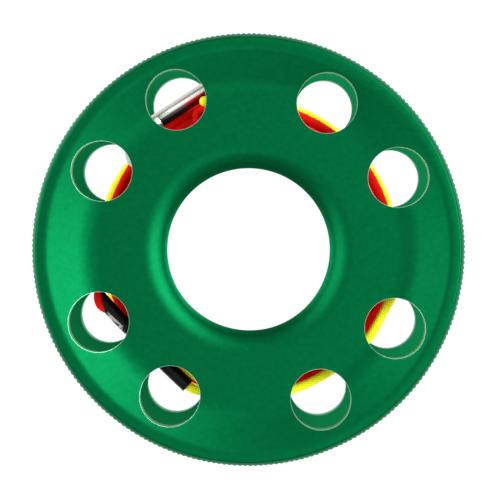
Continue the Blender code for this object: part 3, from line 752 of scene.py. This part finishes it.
# The splice sleeve: black heat-shrink tube over the joint of the two colours, lying on the pile's front.
# It is cut square at the right and on the slant at the left, and is finely wrinkled from its shrinking.
tube_rings = 120
tube_radius = 0.00165
tube_wall = 0.0003
slant_middle = 0.0020
slant_normal = (0.7714, 0, -0.6364)
tube_start = sleeve_right - tube_length
bpy.ops.mesh.primitive_circle_add(vertices=48, radius=tube_radius, location=(0, 0, 0))
sleeve = bpy.context.object
sleeve.name = sleeve.data.name = "splice_tube"
bpy.ops.object.mode_set(mode="EDIT")
swelling = 1.0
bend = 0.0
for ring in range(1, tube_rings + 1):
    height = tube_length * ring / tube_rings
    wrinkle = math.sin(height * 4700) * math.sin(height * 1730 + 1.3) + 0.5 * math.sin(height * 9100 + 0.4)
    grow = (1.0 + 0.014 * wrinkle) / swelling
    step = tube_bend * (1 - (1 - ring / tube_rings) ** 2) - bend
    bend += step
    bpy.ops.mesh.extrude_region_move(TRANSFORM_OT_translate={"value": (step, 0, tube_length / tube_rings)})
    bpy.ops.transform.resize(value=(grow, grow, 1), center_override=(bend, 0, height))
    swelling *= grow
bpy.ops.mesh.select_all(action="SELECT")
bpy.ops.mesh.bisect(
    plane_co=(0, 0, slant_middle), plane_no=slant_normal, clear_outer=True, threshold=0.000001
)
bpy.ops.mesh.select_all(action="SELECT")
bpy.ops.mesh.normals_make_consistent(inside=False)
bpy.ops.object.mode_set(mode="OBJECT")
wall = sleeve.modifiers.new("wall", "SOLIDIFY")
wall.thickness = tube_wall
wall.offset = -1.0
bpy.ops.object.modifier_apply(modifier="wall")
# Its Z is laid along the sleeve's line, and its X outwards from the drum.
sleeve.matrix_world = Matrix.Translation(sleeve_point(tube_start)) @ Matrix(
    (sleeve_outward, sleeve_along.cross(sleeve_outward), sleeve_along)
).transposed().to_4x4()
bpy.ops.object.transform_apply(location=True, rotation=True, scale=True)
bpy.ops.object.shade_smooth_by_angle(angle=math.radians(40))

sleeve_black = bpy.data.materials.new("sleeve_black")
sleeve_black.use_nodes = True
nodes, links = sleeve_black.node_tree.nodes, sleeve_black.node_tree.links
shader = nodes["Principled BSDF"]
shader.inputs["Specular IOR Level"].default_value = 0.10
place = nodes.new("ShaderNodeTexCoord")
creases = nodes.new("ShaderNodeTexNoise")
creases.inputs["Scale"].default_value = 700.0
creases.inputs["Detail"].default_value = 3.0
links.new(place.outputs["Object"], creases.inputs["Vector"])
rough = nodes.new("ShaderNodeMapRange")
rough.inputs["To Min"].default_value = 0.18
rough.inputs["To Max"].default_value = 0.42
links.new(creases.outputs["Fac"], rough.inputs["Value"])
links.new(rough.outputs["Result"], shader.inputs["Roughness"])
# Its outer edge carries a painted highlight, a patchy grey line on the left half.
outwards = nodes.new("ShaderNodeVectorMath")
outwards.operation = "DOT_PRODUCT"
outwards.inputs[1].default_value = sleeve_outward
links.new(place.outputs["Object"], outwards.inputs[0])
at_edge = nodes.new("ShaderNodeMapRange")
at_edge.inputs["From Min"].default_value = 0.03285
at_edge.inputs["From Max"].default_value = 0.03310
links.new(outwards.outputs["Value"], at_edge.inputs["Value"])
lengthwise = nodes.new("ShaderNodeVectorMath")
lengthwise.operation = "DOT_PRODUCT"
lengthwise.inputs[1].default_value = sleeve_along
links.new(place.outputs["Object"], lengthwise.inputs[0])
on_left = nodes.new("ShaderNodeMath")
on_left.operation = "LESS_THAN"
on_left.inputs[1].default_value = -0.004
links.new(lengthwise.outputs["Value"], on_left.inputs[0])
patchy = nodes.new("ShaderNodeMapRange")
patchy.inputs["From Min"].default_value = 0.47
patchy.inputs["From Max"].default_value = 0.55
links.new(creases.outputs["Fac"], patchy.inputs["Value"])
along_edge = nodes.new("ShaderNodeMath")
along_edge.operation = "MULTIPLY"
links.new(at_edge.outputs["Result"], along_edge.inputs[0])
links.new(on_left.outputs["Value"], along_edge.inputs[1])
painted_highlight_mask = nodes.new("ShaderNodeMath")
painted_highlight_mask.operation = "MULTIPLY"
links.new(along_edge.outputs["Value"], painted_highlight_mask.inputs[0])
links.new(patchy.outputs["Result"], painted_highlight_mask.inputs[1])
painted_highlight_mix = nodes.new("ShaderNodeMix")
painted_highlight_mix.data_type = "RGBA"
painted_highlight_mix.inputs["A"].default_value = (0.0035, 0.0022, 0.0026, 1)
painted_highlight_mix.inputs["B"].default_value = (0.38, 0.35, 0.35, 1)
links.new(painted_highlight_mask.outputs["Value"], painted_highlight_mix.inputs["Factor"])
links.new(painted_highlight_mix.outputs["Result"], shader.inputs["Base Color"])
bump = nodes.new("ShaderNodeBump")
bump.inputs["Strength"].default_value = 0.6
bump.inputs["Distance"].default_value = 0.00012
links.new(creases.outputs["Fac"], bump.inputs["Height"])
links.new(bump.outputs["Normal"], shader.inputs["Normal"])
sleeve.data.materials.clear()
sleeve.data.materials.append(sleeve_black)
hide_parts("splice_sleeve")
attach(sleeve, "spool")

# The clip's body: polished stainless steel, with a barrel that holds the bolt, a bent hook rod welded to its
# mouth and a flat eye behind. The barrel is turned, bored and slotted for the knob. The rod's tip stands
# against the bolt's nose.
steel_marks = bpy.data.node_groups.new("steel_marks", "ShaderNodeTree")
steel_marks.interface.new_socket("Fineness", in_out="INPUT", socket_type="NodeSocketFloat")
steel_marks.interface.new_socket("Marks", in_out="OUTPUT", socket_type="NodeSocketFloat")
nodes, links = steel_marks.nodes, steel_marks.links
given = nodes.new("NodeGroupInput")
made = nodes.new("NodeGroupOutput")
place = nodes.new("ShaderNodeTexCoord")
marks = nodes.new("ShaderNodeTexNoise")
marks.inputs["Detail"].default_value = 2.0
links.new(place.outputs["Object"], marks.inputs["Vector"])
links.new(given.outputs["Fineness"], marks.inputs["Scale"])
links.new(marks.outputs["Fac"], made.inputs["Marks"])


def bright_steel(name, colour, fineness, smoothest, roughest):
    """Steel whose roughness follows the faint marks that its polishing or drawing leaves."""
    finish = bpy.data.materials.new(name)
    finish.use_nodes = True
    nodes, links = finish.node_tree.nodes, finish.node_tree.links
    shader = nodes["Principled BSDF"]
    shader.inputs["Metallic"].default_value = 1.0
    shader.inputs["Base Color"].default_value = colour
    marks = nodes.new("ShaderNodeGroup")
    marks.node_tree = steel_marks
    marks.inputs["Fineness"].default_value = fineness
    rough = nodes.new("ShaderNodeMapRange")
    rough.inputs["To Min"].default_value = smoothest
    rough.inputs["To Max"].default_value = roughest
    links.new(marks.outputs["Marks"], rough.inputs["Value"])
    links.new(rough.outputs["Result"], shader.inputs["Roughness"])
    return finish


def turned_piece(name, rings, lay, corners=64):
    """A solid turned about its own Z from rings (radius, height), then laid in the clip's frame."""
    radius, height = rings[0]
    bpy.ops.mesh.primitive_circle_add(
        vertices=corners, radius=radius, fill_type="NGON", location=(0, 0, height)
    )
    piece = bpy.context.object
    piece.name = piece.data.name = name
    bpy.ops.object.transform_apply(location=True, rotation=False, scale=False)
    bpy.ops.object.mode_set(mode="EDIT")
    turn_up(rings)
    bpy.ops.mesh.select_all(action="SELECT")
    bpy.ops.mesh.normals_make_consistent(inside=False)
    bpy.ops.object.mode_set(mode="OBJECT")
    piece.matrix_world = clip_frame @ lay
    bpy.ops.object.transform_apply(location=True, rotation=True, scale=True)
    return piece


def block(size, middle, edge=0.0):
    """A block of this size about a middle in the clip's frame, with its edges eased."""
    bpy.ops.mesh.primitive_cube_add(size=1.0, location=(0, 0, 0))
    piece = bpy.context.object
    bpy.ops.object.mode_set(mode="EDIT")
    bpy.ops.transform.resize(value=size, center_override=(0, 0, 0))
    if edge:
        bpy.ops.mesh.bevel(offset=edge, segments=2, affect="EDGES")
    bpy.ops.object.mode_set(mode="OBJECT")
    piece.matrix_world = clip_frame @ Matrix.Translation(middle)
    bpy.ops.object.transform_apply(location=True, rotation=True, scale=True)
    return piece


polished_steel = bright_steel("polished_steel", (0.63, 0.57, 0.55, 1), 1400.0, 0.32, 0.42)
barrel_end = 0.0265
eye_middle = 0.0289
rod_radius = 0.0015
lay_along = Matrix.Rotation(math.radians(90), 4, "Y")
clip = turned_piece(
    "clip_barrel",
    [
        (0.0031, 0.0123), (0.0034, 0.0124), (0.0035, 0.0127), (0.0035, 0.0257), (0.0034, 0.0262),
        (0.0030, barrel_end),
    ],
    lay_along,
)
rod_points = [
    Vector((x * 0.001, y * 0.001, 0))
    for x, y in (
        (14.6, -2.2), (13.8, -2.6), (10.8, -5.95), (6.15, -8.93), (0.0, -9.6), (-5.04, -9.31), (-9.18, -7.68),
        (-11.2, -4.8), (-9.63, -1.15), (-6.16, 0.5), (-2.5, 0.0), (-1.15, 0.0), (-1.0, 0.0),
    )
]
rod_run = [clip_frame @ point for point in smooth_route(rod_points, 0.0004)]
rod = round_wire("clip_rod", rod_run, rod_radius, 10)
tab = block((0.0048, 0.0052, 0.0030), (barrel_end, 0, 0), 0.0002)
lay_eye = Matrix.Translation((eye_middle, 0, 0))
eye_rings = [(0.0024, -0.0015), (0.0026, -0.0013), (0.0026, 0.0013), (0.0024, 0.0015)]
eye = turned_piece("clip_eye", eye_rings, lay_eye, 48)
hole_rings = [(0.0015, -0.0016), (0.0013, -0.0013), (0.0013, 0.0013), (0.0015, 0.0016)]
eye_drill = turned_piece("clip_eye_drill", hole_rings, lay_eye, 48)
bore_drill = turned_piece("clip_bore_drill", [(0.00215, 0.0120), (0.00215, 0.0255)], lay_along)
slot_cutter = block((0.0087, 0.0050, 0.0022), (0.01725, 0.0034, 0))
tip = turned_piece(
    "clip_tip",
    [(0.0014, -0.0040), (0.0018, -0.0035), (0.0019, -0.0031), (0.0019, -0.0012), (0.0018, -0.0010)],
    lay_along,
)
for other, way in (
    (rod, "UNION"), (tip, "UNION"), (tab, "UNION"), (eye, "UNION"),
    (eye_drill, "DIFFERENCE"), (bore_drill, "DIFFERENCE"), (slot_cutter, "DIFFERENCE"),
):
    merge(clip, other, way)
bpy.ops.object.shade_smooth_by_angle(angle=math.radians(35))
clip.name = clip.data.name = "clip_snap_body"
clip.data.materials.clear()
clip.data.materials.append(polished_steel)
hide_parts("clip_body")
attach(clip, "spool")

# The bolt: a stainless rod that slides in the barrel. Its nose shuts against the hook's tip, and a blind seat
# near its inner end takes the knob's stem. Its drum side has a painted reflection: dark, and red by the
# orange loop.
bolt = turned_piece(
    "clip_bolt",
    [(0.00170, -0.00092), (0.00182, -0.00086), (0.00185, -0.00074), (0.00185, 0.01556), (0.00171, 0.01570)],
    lay_along,
)
knob_middle = 0.0140
lay_knob = Matrix.Translation((knob_middle, 0, 0)) @ Matrix.Rotation(math.radians(-90), 4, "X")
seat_drill = turned_piece("bolt_seat_drill", [(0.00110, 0.00015), (0.00110, 0.00300)], lay_knob, 32)
merge(bolt, seat_drill, "DIFFERENCE")
bpy.ops.object.shade_smooth_by_angle(angle=math.radians(35))

bolt_steel = bright_steel("bolt_steel", (0.64, 0.57, 0.55, 1), 1400.0, 0.32, 0.42)
nodes, links = bolt_steel.node_tree.nodes, bolt_steel.node_tree.links
shader = nodes["Principled BSDF"]
place = nodes.new("ShaderNodeTexCoord")
outwards = nodes.new("ShaderNodeVectorMath")
outwards.operation = "DOT_PRODUCT"
outwards.inputs[1].default_value = polar(1, clip_bearing, 0)
links.new(place.outputs["Object"], outwards.inputs[0])
# Painted reflection: the drum side is darkened, and tinted red beside the orange loop, for what the polished
# steel would mirror there.
on_drum_side = nodes.new("ShaderNodeMapRange")
on_drum_side.inputs["From Min"].default_value = 0.03650
on_drum_side.inputs["From Max"].default_value = 0.03618
links.new(outwards.outputs["Value"], on_drum_side.inputs["Value"])
lengthwise = nodes.new("ShaderNodeVectorMath")
lengthwise.operation = "DOT_PRODUCT"
lengthwise.inputs[1].default_value = polar(1, clip_turn, 0)
links.new(place.outputs["Object"], lengthwise.inputs[0])
by_loop = nodes.new("ShaderNodeMapRange")
by_loop.inputs["From Min"].default_value = 0.0056
by_loop.inputs["From Max"].default_value = 0.0064
links.new(lengthwise.outputs["Value"], by_loop.inputs["Value"])
painted_reflection_colour = nodes.new("ShaderNodeMix")
painted_reflection_colour.data_type = "RGBA"
painted_reflection_colour.inputs["A"].default_value = (0.055, 0.042, 0.040, 1)
painted_reflection_colour.inputs["B"].default_value = (0.28, 0.004, 0.006, 1)
links.new(by_loop.outputs["Result"], painted_reflection_colour.inputs["Factor"])
painted_reflection_mix = nodes.new("ShaderNodeMix")
painted_reflection_mix.data_type = "RGBA"
painted_reflection_mix.inputs["A"].default_value = shader.inputs["Base Color"].default_value
links.new(painted_reflection_colour.outputs["Result"], painted_reflection_mix.inputs["B"])
links.new(on_drum_side.outputs["Result"], painted_reflection_mix.inputs["Factor"])
links.new(painted_reflection_mix.outputs["Result"], shader.inputs["Base Color"])
bolt.data.materials.clear()
bolt.data.materials.append(bolt_steel)
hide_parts("gate_bolt")
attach(bolt, "gate")

# The thumb knob: a small turned head on a stem, which stands out through the barrel's slot.
knob = turned_piece(
    "clip_knob",
    [
        (0.00080, 0.00045), (0.00080, 0.00415), (0.00095, 0.00430), (0.00155, 0.00430), (0.00185, 0.00442),
        (0.00200, 0.00472), (0.00200, 0.00502), (0.00190, 0.00512), (0.00190, 0.00532), (0.00200, 0.00542),
        (0.00200, 0.00582), (0.00186, 0.00614), (0.00160, 0.00628), (0.00140, 0.00630), (0.00105, 0.00618),
        (0.00060, 0.00606),
    ],
    lay_knob, 48,
)
bpy.ops.object.shade_smooth_by_angle(angle=math.radians(35))
knob.data.materials.clear()
knob.data.materials.append(polished_steel)
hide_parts("thumb_knob")
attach(knob, "gate")

# The spring: steel wire coiled in the barrel behind the bolt. It is laid as a fixed coil, though the real one
# closes up as the bolt is drawn back.
spring_start, spring_length = 0.01625, 0.0087
spring_turns = 5
coil_radius = 0.0012
wire_radius = 0.00025
coil = []
for i in range(201):
    turn = math.tau * spring_turns * i / 200
    along = spring_start + spring_length * i / 200
    coil.append(clip_frame @ Vector((along, coil_radius * math.cos(turn), coil_radius * math.sin(turn))))
spring = round_wire("clip_spring", coil, wire_radius, 4)
bpy.ops.object.shade_smooth_by_angle(angle=math.radians(40))
spring_wire = bright_steel("spring_wire", (0.45, 0.45, 0.46, 1), 2500.0, 0.25, 0.35)
spring.data.materials.clear()
spring.data.materials.append(spring_wire)
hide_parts("gate_spring")
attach(spring, "spool")
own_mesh(spring)
